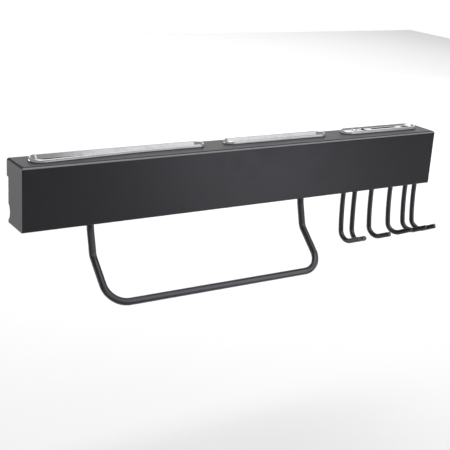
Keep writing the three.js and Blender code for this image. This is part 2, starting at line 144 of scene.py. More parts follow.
def easeEdges(piece, width, segments=2, angle=35):
    useModifier(piece, "BEVEL", width=width, segments=segments, limit_method="ANGLE",
                angle_limit=math.radians(angle), harden_normals=False, use_clamp_overlap=True)


def shade(piece, angle=35):
    chooseAll(piece)
    bpy.ops.mesh.remove_doubles(threshold=2e-6)
    bpy.ops.mesh.dissolve_degenerate(threshold=1e-6)
    bpy.ops.object.mode_set(mode="OBJECT")
    bpy.ops.object.shade_smooth_by_angle(angle=math.radians(angle))
    useModifier(piece, "WEIGHTED_NORMAL", mode="FACE_AREA", weight=50, keep_sharp=True)


def addPoint(name):  # a single point at the origin, in edit mode
    deselectAll()
    bpy.ops.mesh.primitive_plane_add(size=0.001)
    piece = bpy.context.object
    piece.name = name
    bpy.ops.object.mode_set(mode="EDIT")
    bpy.ops.mesh.select_mode(type="VERT")
    bpy.ops.mesh.select_all(action="SELECT")
    bpy.ops.mesh.merge(type="CENTER")
    return piece


def turnedPiece(name, profile, centre=(0, 0, 0), steps=48):  # profile of (radius, height), spun round Z
    piece = addPoint(name)
    places = [Vector(centre) + Vector((radius, 0, height)) for radius, height in profile]
    bpy.ops.transform.translate(value=places[0])
    for here, there in zip(places, places[1:]):
        bpy.ops.mesh.extrude_region_move(TRANSFORM_OT_translate={"value": there - here})
    bpy.ops.mesh.select_all(action="SELECT")
    bpy.ops.mesh.spin(steps=steps, angle=2 * math.pi, center=centre, axis=(0, 0, 1))
    bpy.ops.mesh.select_all(action="SELECT")
    bpy.ops.mesh.remove_doubles(threshold=1e-6)
    bpy.ops.mesh.normals_make_consistent(inside=False)
    bpy.ops.object.mode_set(mode="OBJECT")
    return piece


# a rod grows from one end: a ring is extruded along straights and spun round bends
def startRod(name, radius, place, heading, sides=28):
    deselectAll()
    bpy.ops.mesh.primitive_circle_add(vertices=sides, radius=radius, location=(0, 0, 0))
    rod = bpy.context.object
    rod.name = name
    lean = Vector((0, 0, 1)).rotation_difference(Vector(heading)).to_matrix().to_4x4()
    rod.matrix_world = Matrix.Translation(Vector(place)) @ lean
    settle(rod)
    chooseAll(rod)
    return {"rod": rod, "place": Vector(place), "heading": Vector(heading).normalized()}


def goStraight(route, length):
    step = route["heading"] * length
    bpy.ops.mesh.extrude_region_move(TRANSFORM_OT_translate={"value": step})
    route["place"] = route["place"] + step


def goRound(route, axis, degrees, radius, steps):  # right-handed about axis
    axis = Vector(axis).normalized()
    angle = math.radians(degrees)
    toCentre = axis.cross(route["heading"]) * radius * (1 if degrees > 0 else -1)
    centre = route["place"] + toCentre
    bpy.ops.mesh.spin(steps=steps, angle=-angle, center=centre, axis=axis)
    turn = Matrix.Rotation(angle, 3, axis)
    route["place"] = centre - turn @ toCentre
    route["heading"] = (turn @ route["heading"]).normalized()


def closeRod(route):
    rod = route["rod"]
    bpy.ops.mesh.select_all(action="SELECT")
    bpy.ops.mesh.remove_doubles(threshold=1e-6)
    bpy.ops.mesh.select_all(action="DESELECT")
    bpy.ops.mesh.select_non_manifold()
    bpy.ops.mesh.edge_face_add()
    bpy.ops.mesh.select_all(action="SELECT")
    bpy.ops.mesh.normals_make_consistent(inside=False)
    bpy.ops.object.mode_set(mode="OBJECT")
    return rod


def mount(piece, material, slot, body, *nodes):
    settle(piece)
    piece.data.materials.clear()
    piece.data.materials.append(material)
    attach(piece, body)
    if nodes:
        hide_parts(*nodes)
    return piece


def addCopy(piece, name, place, heading=0.0):  # a copy with a mesh of its own
    copied = piece.copy()
    copied.data = piece.data.copy()
    copied.name = name
    copied.location = place
    copied.rotation_euler = (0, 0, math.radians(heading))
    bpy.context.scene.collection.objects.link(copied)
    return copied


# node groups that several finishes share

def newGroup(name, inputs, outputs):
    group = bpy.data.node_groups.new(name, "ShaderNodeTree")
    for title, kind, value in inputs:
        socket = group.interface.new_socket(name=title, in_out="INPUT", socket_type=kind)
        if value is not None:
            socket.default_value = value
    for title, kind in outputs:
        group.interface.new_socket(name=title, in_out="OUTPUT", socket_type=kind)
    groupIn = group.nodes.new("NodeGroupInput")
    groupOut = group.nodes.new("NodeGroupOutput")
    return group, groupIn, groupOut


def addNoise(tree, vector, scale, detail=3.0, roughness=0.55):
    noise = tree.nodes.new("ShaderNodeTexNoise")
    noise.inputs["Detail"].default_value = detail
    noise.inputs["Roughness"].default_value = roughness
    tree.links.new(vector, noise.inputs["Vector"])
    if isinstance(scale, (int, float)):
        noise.inputs["Scale"].default_value = scale
    else:
        tree.links.new(scale, noise.inputs["Scale"])
    return noise.outputs["Fac"]


def addMath(tree, operation, first, second=0.0, third=None):
    node = tree.nodes.new("ShaderNodeMath")
    node.operation = operation
    for i, value in enumerate((first, second, third)):
        if value is None:
            continue
        if isinstance(value, (int, float)):
            node.inputs[i].default_value = value
        else:
            tree.links.new(value, node.inputs[i])
    return node.outputs["Value"]


def addRange(tree, value, low, high, toLow=0.0, toHigh=1.0):
    node = tree.nodes.new("ShaderNodeMapRange")
    tree.links.new(value, node.inputs["Value"])
    for title, amount in (("From Min", low), ("From Max", high), ("To Min", toLow), ("To Max", toHigh)):
        if isinstance(amount, (int, float)):
            node.inputs[title].default_value = amount
        else:
            tree.links.new(amount, node.inputs[title])
    return node.outputs["Result"]


def makeCoatGrain():
    # powder coat: an orange peel swell with a fine grain on top of it
    group, groupIn, groupOut = newGroup(
        "coatGrain",
        [("Vector", "NodeSocketVector", None), ("Peel", "NodeSocketFloat", 420.0),
         ("Grain", "NodeSocketFloat", 2600.0)],
        [("Height", "NodeSocketFloat"), ("Speck", "NodeSocketFloat")])
    vector = groupIn.outputs["Vector"]
    peel = addNoise(group, vector, groupIn.outputs["Peel"], detail=2.0, roughness=0.4)
    grain = addNoise(group, vector, groupIn.outputs["Grain"], detail=2.0, roughness=0.5)
    height = addMath(group, "MULTIPLY_ADD", grain, 0.35, peel)
    group.links.new(height, groupOut.inputs["Height"])
    group.links.new(addRange(group, grain, low=0.55, high=0.75), groupOut.inputs["Speck"])
    return group


def makeHandling():
    # slow patches where hands and cloths have been, and dust that has settled on what faces up
    group, groupIn, groupOut = newGroup(
        "handling",
        [("Vector", "NodeSocketVector", None), ("Patch", "NodeSocketFloat", 16.0)],
        [("Smudge", "NodeSocketFloat"), ("Dust", "NodeSocketFloat"), ("Cloud", "NodeSocketFloat")])
    vector = groupIn.outputs["Vector"]
    patchScale = groupIn.outputs["Patch"]
    streakScale = addMath(group, "MULTIPLY", patchScale, 5.5)
    moteScale = addMath(group, "MULTIPLY", patchScale, 90.0)
    patch = addNoise(group, vector, patchScale, detail=4.0, roughness=0.6)
    streak = addNoise(group, vector, streakScale, detail=3.0, roughness=0.6)
    smudge = addMath(group, "MULTIPLY", addRange(group, patch, low=0.45, high=0.68),
                     addRange(group, streak, low=0.35, high=0.7))
    mote = addNoise(group, vector, moteScale, detail=1.0, roughness=0.5)
    facing = group.nodes.new("ShaderNodeNewGeometry")
    apart = group.nodes.new("ShaderNodeSeparateXYZ")
    group.links.new(facing.outputs["Normal"], apart.inputs["Vector"])
    settled = addMath(group, "MULTIPLY", addRange(group, mote, low=0.7, high=0.78),
                      addRange(group, apart.outputs["Z"], low=0.5, high=0.95))
    group.links.new(smudge, groupOut.inputs["Smudge"])
    group.links.new(settled, groupOut.inputs["Dust"])
    group.links.new(patch, groupOut.inputs["Cloud"])
    return group


coatGrain = makeCoatGrain()
handling = makeHandling()


def newMaterial(name):
    material = bpy.data.materials.new(name)
    material.use_nodes = True
    tree = material.node_tree
    tree.nodes.clear()
    shader = tree.nodes.new("ShaderNodeBsdfPrincipled")
    out = tree.nodes.new("ShaderNodeOutputMaterial")
    tree.links.new(shader.outputs["BSDF"], out.inputs["Surface"])
    coordinates = tree.nodes.new("ShaderNodeTexCoord")
    return material, tree, shader, coordinates.outputs["Object"]


def placeGroup(tree, group, vector, **values):
    node = tree.nodes.new("ShaderNodeGroup")
    node.node_tree = group
    tree.links.new(vector, node.inputs["Vector"])
    for title, value in values.items():
        node.inputs[title].default_value = value
    return node


def mixColours(tree, amount, first, second):
    mix = tree.nodes.new("ShaderNodeMix")
    mix.data_type = "RGBA"
    tree.links.new(amount, mix.inputs["Factor"])
    for socket, colour in ((mix.inputs["A"], first), (mix.inputs["B"], second)):
        if isinstance(colour, tuple):
            socket.default_value = (*colour, 1.0)
        else:
            tree.links.new(colour, socket)
    return mix.outputs["Result"]


def bumpInto(tree, shader, height, strength, distance):
    bump = tree.nodes.new("ShaderNodeBump")
    bump.inputs["Strength"].default_value = strength
    bump.inputs["Distance"].default_value = distance
    tree.links.new(height, bump.inputs["Height"])
    tree.links.new(bump.outputs["Normal"], shader.inputs["Normal"])


def makeCoat(name, look):
    material, tree, shader, place = newMaterial(name)
    grain = placeGroup(tree, coatGrain, place, Peel=look["peelScale"], Grain=look["grainScale"])
    touch = placeGroup(tree, handling, place, Patch=look["patchScale"])
    cloud = addRange(tree, touch.outputs["Cloud"], low=0.3, high=0.7)
    speck = addMath(tree, "MULTIPLY", grain.outputs["Speck"], look["speck"])
    dust = addMath(tree, "MULTIPLY", touch.outputs["Dust"], look["dust"])
    tone = mixColours(tree, cloud, look["dark"], look["light"])
    speckled = mixColours(tree, speck, tone, look["speckColour"])
    dusty = mixColours(tree, dust, speckled, look["dustColour"])
    rough = addMath(tree, "MULTIPLY_ADD", touch.outputs["Smudge"], look["smudge"], look["roughness"])
    rough = addMath(tree, "MULTIPLY_ADD", grain.outputs["Speck"], look["speckRough"], rough)
    tree.links.new(rough, shader.inputs["Roughness"])
    # over the bends, where the surface turns up and forward, the base colour is lightened as a painted
    # highlight, and the coat shines more there
    facing = tree.nodes.new("ShaderNodeTexCoord")
    apart = tree.nodes.new("ShaderNodeSeparateXYZ")
    tree.links.new(facing.outputs["Normal"], apart.inputs["Vector"])
    turnedUp = addRange(tree, apart.outputs["Z"], *look["bendUp"])
    turnedFront = addRange(tree, apart.outputs["Y"], *look["bendFront"])
    bend = addMath(tree, "MULTIPLY", turnedUp, turnedFront)
    # painted highlight: the base colour is lightened over the bends to stand in for the light line along them
    paintedHighlight = addMath(tree, "MULTIPLY", bend, look["bendPaintedHighlight"])
    shine = addMath(tree, "MULTIPLY_ADD", bend, look["bendShine"], look["specular"])
    tree.links.new(mixColours(tree, paintedHighlight, dusty, look["paintedHighlightColour"]), shader.inputs["Base Color"])
    tree.links.new(shine, shader.inputs["Specular IOR Level"])
    shader.inputs["Specular Tint"].default_value = (*look["sheen"], 1.0)
    bumpInto(tree, shader, grain.outputs["Height"], look["bump"], look["bumpDepth"])
    return material


sheetCoatLook = {
    "dark": (0.0085, 0.0078, 0.0105),
    "light": (0.0115, 0.0107, 0.0138),
    "speckColour": (0.030, 0.030, 0.033),
    "dustColour": (0.11, 0.11, 0.11),
    "speck": 0.6,
    "dust": 0.35,
    "smudge": 0.06,
    "roughness": 0.36,
    "specular": 0.37,
    "speckRough": 0.05,
    "bendUp": (0.12, 0.35),         # a bend is where the surface turns this far up and this far forward
    "bendFront": (-0.6, -0.75),
    "bendShine": 1.1,
    # how far the base colour is lightened over the bends, a painted highlight, and its colour below
    "bendPaintedHighlight": 0.85,
    "paintedHighlightColour": (0.30, 0.295, 0.31),
    "sheen": (0.93, 0.91, 1.0),
    "peelScale": 420.0,
    "grainScale": 2600.0,
    "patchScale": 11.0,
    "bump": 0.35,
    "bumpDepth": 0.08 * mm,
}
# the rods carry a weaker painted highlight over their bends
rodCoatLook = dict(sheetCoatLook, dark=(0.0065, 0.0062, 0.0078), light=(0.0095, 0.0090, 0.0110),
                   roughness=0.29, specular=0.6, bendPaintedHighlight=0.12, peelScale=520.0, dust=0.15)
sheetCoat = makeCoat("sheetCoat", sheetCoatLook)
rodCoat = makeCoat("rodCoat", rodCoatLook)

chromeLook = {
    "bright": (0.60, 0.605, 0.62),
    "dull": (0.50, 0.505, 0.52),
    "paintedCupShade": (0.035, 0.035, 0.038),
    "cupShadeFade": (8.8 * mm, 4 * mm),    # between these heights the colour fades to dark, a painted shade deep in the cups and holes
    "roughness": 0.10,
    "smudge": 0.08,
    "patchScale": 24.0,
    "lineScale": 1500.0,
    "lineStretch": (0.02, 1.0, 1.0),    # polishing lines run along the rail
    "lineRough": 0.04,
    "waveScale": 55.0,
    "waveHeight": 1.5,
    "bump": 0.02,
    "bumpDepth": 0.04 * mm,
}


def makeChrome(name, look):
    material, tree, shader, place = newMaterial(name)
    touch = placeGroup(tree, handling, place, Patch=look["patchScale"])
    stretch = tree.nodes.new("ShaderNodeMapping")
    stretch.inputs["Scale"].default_value = look["lineStretch"]
    tree.links.new(place, stretch.inputs["Vector"])
    lines = addNoise(tree, stretch.outputs["Vector"], look["lineScale"], detail=3.0, roughness=0.6)
    waves = addNoise(tree, place, look["waveScale"], detail=2.0, roughness=0.45)
    smudge = addRange(tree, touch.outputs["Smudge"], low=0.0, high=1.0)
    polished = mixColours(tree, smudge, look["bright"], look["dull"])
    apart = tree.nodes.new("ShaderNodeSeparateXYZ")
    tree.links.new(place, apart.inputs["Vector"])
    # painted shade: deep in the cups and holes the colour fades to dark
    depth = addRange(tree, apart.outputs["Z"], *look["cupShadeFade"])
    tree.links.new(mixColours(tree, depth, polished, look["paintedCupShade"]), shader.inputs["Base Color"])
    shader.inputs["Metallic"].default_value = 1.0
    rough = addMath(tree, "MULTIPLY_ADD", touch.outputs["Smudge"], look["smudge"], look["roughness"])
    rough = addMath(tree, "MULTIPLY_ADD", lines, look["lineRough"], rough)
    tree.links.new(rough, shader.inputs["Roughness"])
    height = addMath(tree, "MULTIPLY_ADD", waves, look["waveHeight"], lines)
    bumpInto(tree, shader, height, look["bump"], look["bumpDepth"])
    return material


brightChrome = makeChrome("brightChrome", chromeLook)


zincLook = {
    "dark": (0.56, 0.57, 0.58),
    "light": (0.70, 0.70, 0.69),
    "patchScale": 60.0,
    "flakeScale": 900.0,
    "flakeEnd": 0.9,
    "roughness": 0.2,
    "cloudRough": 0.2,
    "bump": 0.15,
    "bumpDepth": 0.03 * mm,
}


def makeZinc(name, look):
    material, tree, shader, place = newMaterial(name)
    touch = placeGroup(tree, handling, place, Patch=look["patchScale"])
    flake = tree.nodes.new("ShaderNodeTexVoronoi")
    flake.inputs["Scale"].default_value = look["flakeScale"]
    tree.links.new(place, flake.inputs["Vector"])
    flakeTone = addRange(tree, flake.outputs["Distance"], low=0.0, high=look["flakeEnd"])
    tree.links.new(mixColours(tree, flakeTone, look["dark"], look["light"]), shader.inputs["Base Color"])
    shader.inputs["Metallic"].default_value = 1.0
    rough = addMath(tree, "MULTIPLY_ADD", touch.outputs["Cloud"], look["cloudRough"], look["roughness"])
    tree.links.new(rough, shader.inputs["Roughness"])
    bumpInto(tree, shader, flakeTone, look["bump"], look["bumpDepth"])
    return material


nylonLook = {
    "dark": (0.011, 0.011, 0.012),
    "light": (0.022, 0.022, 0.024),
    "toneRange": (0.35, 0.7),
    "patchScale": 70.0,
    "scale": 1400.0,
    "roughness": 0.5,
    "polish": -0.12,                # handling takes this much roughness off
    "bump": 0.2,
    "bumpDepth": 0.1 * mm,
}
rubberLook = dict(nylonLook, dark=(0.010, 0.010, 0.010), light=(0.026, 0.025, 0.024),
                  roughness=0.85, scale=800.0, bump=0.5)


def makeMoulded(name, look):
    material, tree, shader, place = newMaterial(name)
    touch = placeGroup(tree, handling, place, Patch=look["patchScale"])
    texture = addNoise(tree, place, look["scale"], detail=4.0, roughness=0.6)
    tone = addRange(tree, texture, *look["toneRange"])
    tree.links.new(mixColours(tree, tone, look["dark"], look["light"]), shader.inputs["Base Color"])
    rough = addMath(tree, "MULTIPLY_ADD", touch.outputs["Smudge"], look["polish"], look["roughness"])
    tree.links.new(rough, shader.inputs["Roughness"])
    bumpInto(tree, shader, texture, look["bump"], look["bumpDepth"])
    return material


zincPlate = makeZinc("zincPlate", zincLook)
blackNylon = makeMoulded("blackNylon", nylonLook)
padRubber = makeMoulded("padRubber", rubberLook)
print("finishes made")


# rail body: one folded sheet

railSheet = {
    "sheet": 1.5 * mm,
    "topBend": 3.0 * mm,
    "frontCorner": 0.6 * mm,
    "edge": 0.28 * mm,
    "flangeHeight": 20 * mm,
    "wallStandoff": 4.5 * mm,
    "lipDepth": 3 * mm,
    "lipBend": 1.6 * mm,
    "tabReach": 14 * mm,
    "tabFront": -27 * mm,
    "tabRear": -8 * mm,
    "hollowMid": 12.25 * mm,       # finger hollow above the lower edge
    "hollowHeight": 16.5 * mm,
    "hollowDepth": 4.3 * mm,
    "keyholes": (-220 * mm, -75 * mm, 75 * mm, 220 * mm),
    "keyholeEntry": 4.5 * mm,
    "keyholeEntryZ": -3.5 * mm,
    "keyholeSlot": 2.4 * mm,
    "keyholeTopZ": 4 * mm,
    "reliefRadius": 0.8 * mm,
    "reliefDepth": 1.2 * mm,
    "screwX": 271.5 * mm,
    "screwY": (-22.5 * mm, -12.5 * mm),
    "screwHole": 2.2 * mm,
    "screwHead": 4.0 * mm,
    "screwSink": 0.9 * mm,
    "insertY": -16.7 * mm,
    "insertFit": 0.3 * mm,
}
inserts = {  # the long insert is wider at its left end, its front side sloping in from there to the knee
    "long_liner": {"half": 9.8 * mm, "leftHalf": 13.4 * mm, "knee": 18 * mm, "rim": 2.8 * mm},
    "short_liner": {"half": 9.8 * mm, "leftHalf": 9.8 * mm, "knee": 0, "rim": 2.8 * mm},
    "tool_deck": {"half": 11.2 * mm, "leftHalf": 11.2 * mm, "knee": 0, "rim": 4.6 * mm},
}
insertWall = 1.0 * mm


# an insert's outline as a solid, with its sides a given way in from the rim's edge
def addPlan(name, node, inset, bottomZ, topZ):
    look = inserts[node]
    low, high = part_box(node)
    half, leftHalf = look["half"] - inset, look["leftHalf"] - inset
    start = Vector(((low.x + high.x) / 2 + look["knee"], railSheet["insertY"] - half, bottomZ))
    right, left = high.x - look["half"], low.x + look["leftHalf"]
    piece = addPoint(name)
    bpy.ops.transform.translate(value=start)
    route = {"rod": piece, "place": start, "heading": along.copy()}
    goStraight(route, right - start.x)
    goRound(route, up, 180, half, 32)
    goStraight(route, right - left)
    goRound(route, up, 180, leftHalf, 32)
    bpy.ops.mesh.extrude_region_move(TRANSFORM_OT_translate={"value": start - route["place"]})
    bpy.ops.mesh.select_all(action="SELECT")
    bpy.ops.mesh.remove_doubles(threshold=1e-6)
    bpy.ops.mesh.edge_face_add()
    bpy.ops.mesh.extrude_region_move(TRANSFORM_OT_translate={"value": (0, 0, topZ - bottomZ)})
    bpy.ops.mesh.select_all(action="SELECT")
    bpy.ops.mesh.normals_make_consistent(inside=False)
    bpy.ops.object.mode_set(mode="OBJECT")
    return piece


# the chosen face steps in along part of an ellipse, steep or flat at first
# a start angle in degrees leans the foot of a steep one
def roundOff(width, height, steepFirst, steps=6, startAngle=0.0):
    start = math.radians(startAngle)
    for i in range(steps):
        here, there = (start + (math.pi / 2 - start) * (i + k) / steps for k in (0, 1))
        if steepFirst:
            bpy.ops.mesh.inset(thickness=width * (math.cos(here) - math.cos(there)) / math.cos(start),
                               depth=height * (math.sin(there) - math.sin(here)) / (1 - math.sin(start)))
        else:
            bpy.ops.mesh.inset(thickness=width * (math.sin(there) - math.sin(here)),
                               depth=height * (math.cos(here) - math.cos(there)))


def makeRailBody():
    look = railSheet
    low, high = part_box("body_shell")
    sheet, over = look["sheet"], 10 * mm  # cutters reach this far past the sheet
    flangeZ, rearY = high.z - look["flangeHeight"], -look["wallStandoff"]
    inX, inFront, inTop = high.x - sheet, low.y + sheet, high.z - sheet
    piece = addBlock("railBody", low, high)
    choose(piece, "EDGE", lambda a, b: min(a.z, b.z) > high.z - near)
    bpy.ops.mesh.bevel(offset=look["topBend"], segments=6, affect="EDGES")
    choose(piece, "EDGE", lambda a, b: max(a.z, b.z) < low.z + near and max(a.y, b.y) < low.y + near)
    bpy.ops.mesh.bevel(offset=look["lipBend"], segments=5, affect="EDGES")
    choose(piece, "EDGE", lambda a, b: abs(a.z - b.z) > 30 * mm and max(a.y, b.y) < low.y + near)
    bpy.ops.mesh.bevel(offset=look["frontCorner"], segments=3, affect="EDGES")
    # below the flange the end plates stop short of the wall
    cutAway(piece, addBlock("cutter", (-high.x - over, rearY, low.z - over), (high.x + over, over, flangeZ)))
    hollow = addBlock("cutter", (-inX, inFront, low.z + sheet), (inX, -sheet, inTop))
    choose(hollow, "EDGE", lambda a, b: min(a.z, b.z) > inTop - near)
    bpy.ops.mesh.bevel(offset=look["topBend"] - sheet, segments=6, affect="EDGES")
    cutAway(piece, hollow)
    cutAway(piece, addBlock("cutter", (-inX, rearY - over, low.z + sheet), (inX, over, flangeZ)))
    # the floor is open apart from a lip along the front and a screw tab at each end
    lipY, tabX = low.y + look["lipDepth"], inX - look["tabReach"]
    under, above = low.z - over, low.z + 2 * sheet
    cutAway(piece, addBlock("cutter", (-tabX, lipY, under), (tabX, over, above)))
    for side in (-1, 1):
        inner, outer = sorted((side * (tabX - over), side * inX))
        cutAway(piece, addBlock("cutter", (inner, lipY, under), (outer, look["tabFront"], above)))
        cutAway(piece, addBlock("cutter", (inner, look["tabRear"], under), (outer, over, above)))
    # openings for the three inserts
    for node, insert in inserts.items():
        inset = insert["rim"] - insertWall - look["insertFit"]
        cutAway(piece, addPlan("cutter", node, inset, 2 * mm, high.z + over))
    for x in look["keyholes"]:
        cutAway(piece, addDrum("cutter", look["keyholeEntry"], (x, 0, look["keyholeEntryZ"]), over, "Y"))
        cutAway(piece, addDrum("cutter", look["keyholeSlot"], (x, 0, look["keyholeTopZ"]), over, "Y", 24))
        cutAway(piece, addBlock("cutter", (x - look["keyholeSlot"], -over / 2, look["keyholeEntryZ"]),
                                (x + look["keyholeSlot"], over / 2, look["keyholeTopZ"])))
    for side in (-1, 1):
        relief = look["reliefRadius"]
        dot = (side * (high.x - relief * 1.6), low.y, high.z - look["topBend"] - relief)
        cutAway(piece, addDrum("cutter", relief, dot, look["reliefDepth"] * 2, "Y", 20))
        for y in look["screwY"]:
            past, hole, top = 1 * mm, look["screwHole"], 5 * mm
            outline = [(0, -past), (look["screwHead"] + past, -past), (hole, look["screwSink"]),
                       (hole, top), (0, top)]
            cutAway(piece, turnedPiece("cutter", outline, (side * look["screwX"], y, low.z), 24))
    # finger hollows in the rear edges of the end plates, cut by one drum of size 1 drawn out to an oval
    hollow = addDrum("cutter", 0.5, (0, 0, 0), 1, "X", 48)
    hollow.scale = (high.x * 2.2, look["hollowDepth"] * 2, look["hollowHeight"])
    hollow.location = (0, rearY, low.z + look["hollowMid"])
    settle(hollow)
    cutAway(piece, hollow)
    easeEdges(piece, look["edge"], 2, 40)
    shade(piece, 32)
    return mount(piece, sheetCoat, "black_sheet", "rail", "body_shell")


makeRailBody()
print("rail body made")


# bright liners: a pressed rim over the sheet and a tapering cup under it

linerLook = {
    "rimUnder": 10.3 * mm,
    "taper": 0.6 * mm,
    "funnel": (3.0 * mm, 4.6 * mm),         # width, and depth below the rim's top
    "outerRound": (1.8 * mm, 2.7 * mm),     # width and height
    "rimLean": 35,
    "innerRound": (0.9 * mm, 0.6 * mm),
    "floorRound": (1.0 * mm, 1.0 * mm),
}


def makeLiner(node, name):
    look = linerLook
    low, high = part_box(node)
    rim, taper = inserts[node]["rim"], look["taper"]
    outerWidth, outerHeight = look["outerRound"]
    innerWidth, innerHeight = look["innerRound"]
    floorWidth, floorHeight = look["floorRound"]
    funnelWidth, funnelDepth = look["funnel"]
    funnelZ = high.z - funnelDepth
    piece = addPlan(name, node, 0, look["rimUnder"], high.z - outerHeight)
    # over the rim and down into the cup
    choose(piece, "FACE", lambda centre, normal: normal.z > 0.9)
    roundOff(outerWidth, outerHeight, True, 6, look["rimLean"])
    bpy.ops.mesh.inset(thickness=rim - outerWidth - innerWidth)
    roundOff(innerWidth, -innerHeight, False)
    bpy.ops.mesh.inset(thickness=funnelWidth, depth=innerHeight - funnelDepth)
    bpy.ops.mesh.inset(thickness=taper, depth=low.z + insertWall + floorHeight - funnelZ)
    roundOff(floorWidth, -floorHeight, True, 3)
    # under the rim and down the outside of the cup
    choose(piece, "FACE", lambda centre, normal: normal.z < -0.9)
    bpy.ops.mesh.inset(thickness=rim - insertWall)
    bpy.ops.mesh.inset(thickness=funnelWidth, depth=look["rimUnder"] - funnelZ)
    bpy.ops.mesh.inset(thickness=taper, depth=funnelZ - low.z - floorHeight)
    roundOff(floorWidth, floorHeight, True, 3)
    bpy.ops.object.mode_set(mode="OBJECT")
    shade(piece, 35)
    return mount(piece, brightChrome, "chrome_insert", node, node)


makeLiner("long_liner", "longLiner")
makeLiner("short_liner", "shortLiner")
print("liners made")


# tool deck: the same rim round a perforated plate, with an open skirt below

deckLook = {
    "rimUnder": linerLook["rimUnder"],
    "outerRound": linerLook["outerRound"],
    "rimLean": linerLook["rimLean"],
    "rimWidth": 2.4 * mm,
    "drop": 1.2 * mm,
    "thickness": 1.8 * mm,
    "collar": (1.5 * mm, 0.8 * mm),         # pressed ring round the tail holes: width, height
    "collarRoot": 0.4 * mm,
    # openings about the deck's middle: x, y, radius; x, y, half width, reach, turn; x, x, y, half width
    "round": ((-37 * mm, 3.2 * mm, 2.4 * mm), (-24.5 * mm, 4.0 * mm, 2.3 * mm)),
    "askew": (-25.2 * mm, -2.8 * mm, 2.4 * mm, 2.6 * mm, -62),
    "slots": ((-12 * mm, 29 * mm, 0.6 * mm, 2.5 * mm), (37 * mm, 49.6 * mm, -0.6 * mm, 3.0 * mm)),
    "edge": 0.35 * mm,
}


def makeToolDeck():
    look = deckLook
    low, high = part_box("tool_deck")
    y = railSheet["insertY"]
    x = (low.x + high.x) / 2
    outerWidth, outerHeight = look["outerRound"]
    deckTop = high.z - look["drop"]
    underside = deckTop - look["thickness"]
    piece = addPlan("toolDeck", "tool_deck", 0, look["rimUnder"], high.z - outerHeight)
    choose(piece, "FACE", lambda centre, normal: normal.z > 0.9)
    roundOff(outerWidth, outerHeight, True, 6, look["rimLean"])
    bpy.ops.mesh.inset(thickness=look["rimWidth"] - outerWidth)
    bpy.ops.mesh.inset(thickness=look["drop"], depth=-look["drop"])
    choose(piece, "FACE", lambda centre, normal: normal.z < -0.9)
    bpy.ops.mesh.inset(thickness=inserts["tool_deck"]["rim"] - insertWall)
    bpy.ops.mesh.extrude_region_move(TRANSFORM_OT_translate={"value": (0, 0, low.z - look["rimUnder"])})
    bpy.ops.mesh.inset(thickness=insertWall)
    bpy.ops.mesh.extrude_region_move(TRANSFORM_OT_translate={"value": (0, 0, underside - low.z)})
    bpy.ops.object.mode_set(mode="OBJECT")
    wide, tall = look["collar"]
    root = look["collarRoot"]
    for atX, atY, radius in look["round"]:
        outline = [(0, -root), (radius + wide, -root), (radius + wide * 0.85, tall * 0.5),
                   (radius + wide * 0.5, tall), (0, tall)]
        cutAway(piece, turnedPiece("collar", outline, (x + atX, y + atY, deckTop), 40), "UNION")
    cutLow, cutHigh = 6 * mm, 16 * mm
    for atX, atY, radius in look["round"]:
        centre = (x + atX, y + atY, (cutLow + cutHigh) / 2)
        cutAway(piece, addDrum("cutter", radius, centre, cutHigh - cutLow, "Z", 32))
    for left, right, atY, half in look["slots"]:
        cutAway(piece, addStadium("cutter", (x + left, y + atY - half, cutLow),
                                  (x + right, y + atY + half, cutHigh)))
    atX, atY, half, reach, degrees = look["askew"]
    askew = addStadium("cutter", (-reach - half, -half, cutLow), (reach + half, half, cutHigh))
    askew.rotation_euler = (0, 0, math.radians(degrees))
    askew.location = (x + atX, y + atY, 0)
    settle(askew)
    cutAway(piece, askew)
    easeEdges(piece, look["edge"], 3, 40)
    shade(piece, 35)
    return mount(piece, brightChrome, "chrome_insert", "tool_deck", "tool_deck")


makeToolDeck()
print("tool deck made")


# bottom tray

trayLook = {
    "sheet": 1.5 * mm,
    "bend": 2.0 * mm,
    "edge": 0.25 * mm,
    "rearLipEnd": 262 * mm,         # the rear wall is notched beyond this, clear of the screw tabs
    "notchDepth": 7.5 * mm,
    "notchFoot": 2.1 * mm,
    "slotLeft": 115 * mm,
    "slotRight": 272 * mm,
    "slotHalf": 4.3 * mm,
    "hookY": -35 * mm,
    "legX": (-195 * mm, 87.4 * mm),
    "legY": -24.5 * mm,
    "legHole": 4.4 * mm,
}


def makeTray():
    look = trayLook
    low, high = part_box("bottom_tray")
    sheet, over = look["sheet"], 10 * mm

    def alongFoot(a, b):
        return max(a.z, b.z) < low.z + sheet + near and abs(a.x - b.x) > 100 * mm

    piece = addBlock("bottomTray", low, high)
    choose(piece, "EDGE", alongFoot)
    bpy.ops.mesh.bevel(offset=look["bend"], segments=5, affect="EDGES")
    inside = addBlock("cutter", low + Vector((sheet, sheet, sheet)), high + Vector((-sheet, -sheet, over)))
    choose(inside, "EDGE", alongFoot)
    bpy.ops.mesh.bevel(offset=look["bend"] - sheet, segments=3, affect="EDGES")
    cutAway(piece, inside)
    for side in (-1, 1):
        inner, outer = sorted((side * look["rearLipEnd"], side * (high.x + over)))
        cutAway(piece, addBlock("cutter", (inner, high.y - look["notchDepth"], low.z + look["notchFoot"]),
                                (outer, over, high.z + over)))
        for y in railSheet["screwY"]:
            cutAway(piece, addDrum("cutter", railSheet["screwHole"], (side * railSheet["screwX"], y, low.z),
                                   over, "Z", 24))
    slotY, slotHalf = look["hookY"], look["slotHalf"]
    cutAway(piece, addStadium("cutter", (look["slotLeft"], slotY - slotHalf, low.z - 2 * mm),
                              (look["slotRight"], slotY + slotHalf, low.z + 4 * mm)))
    for x in look["legX"]:
        cutAway(piece, addDrum("cutter", look["legHole"], (x, look["legY"], low.z), over, "Z", 40))
    easeEdges(piece, look["edge"], 2, 40)
    shade(piece, 32)
    return mount(piece, sheetCoat, "black_sheet", "rail", "bottom_tray")


makeTray()

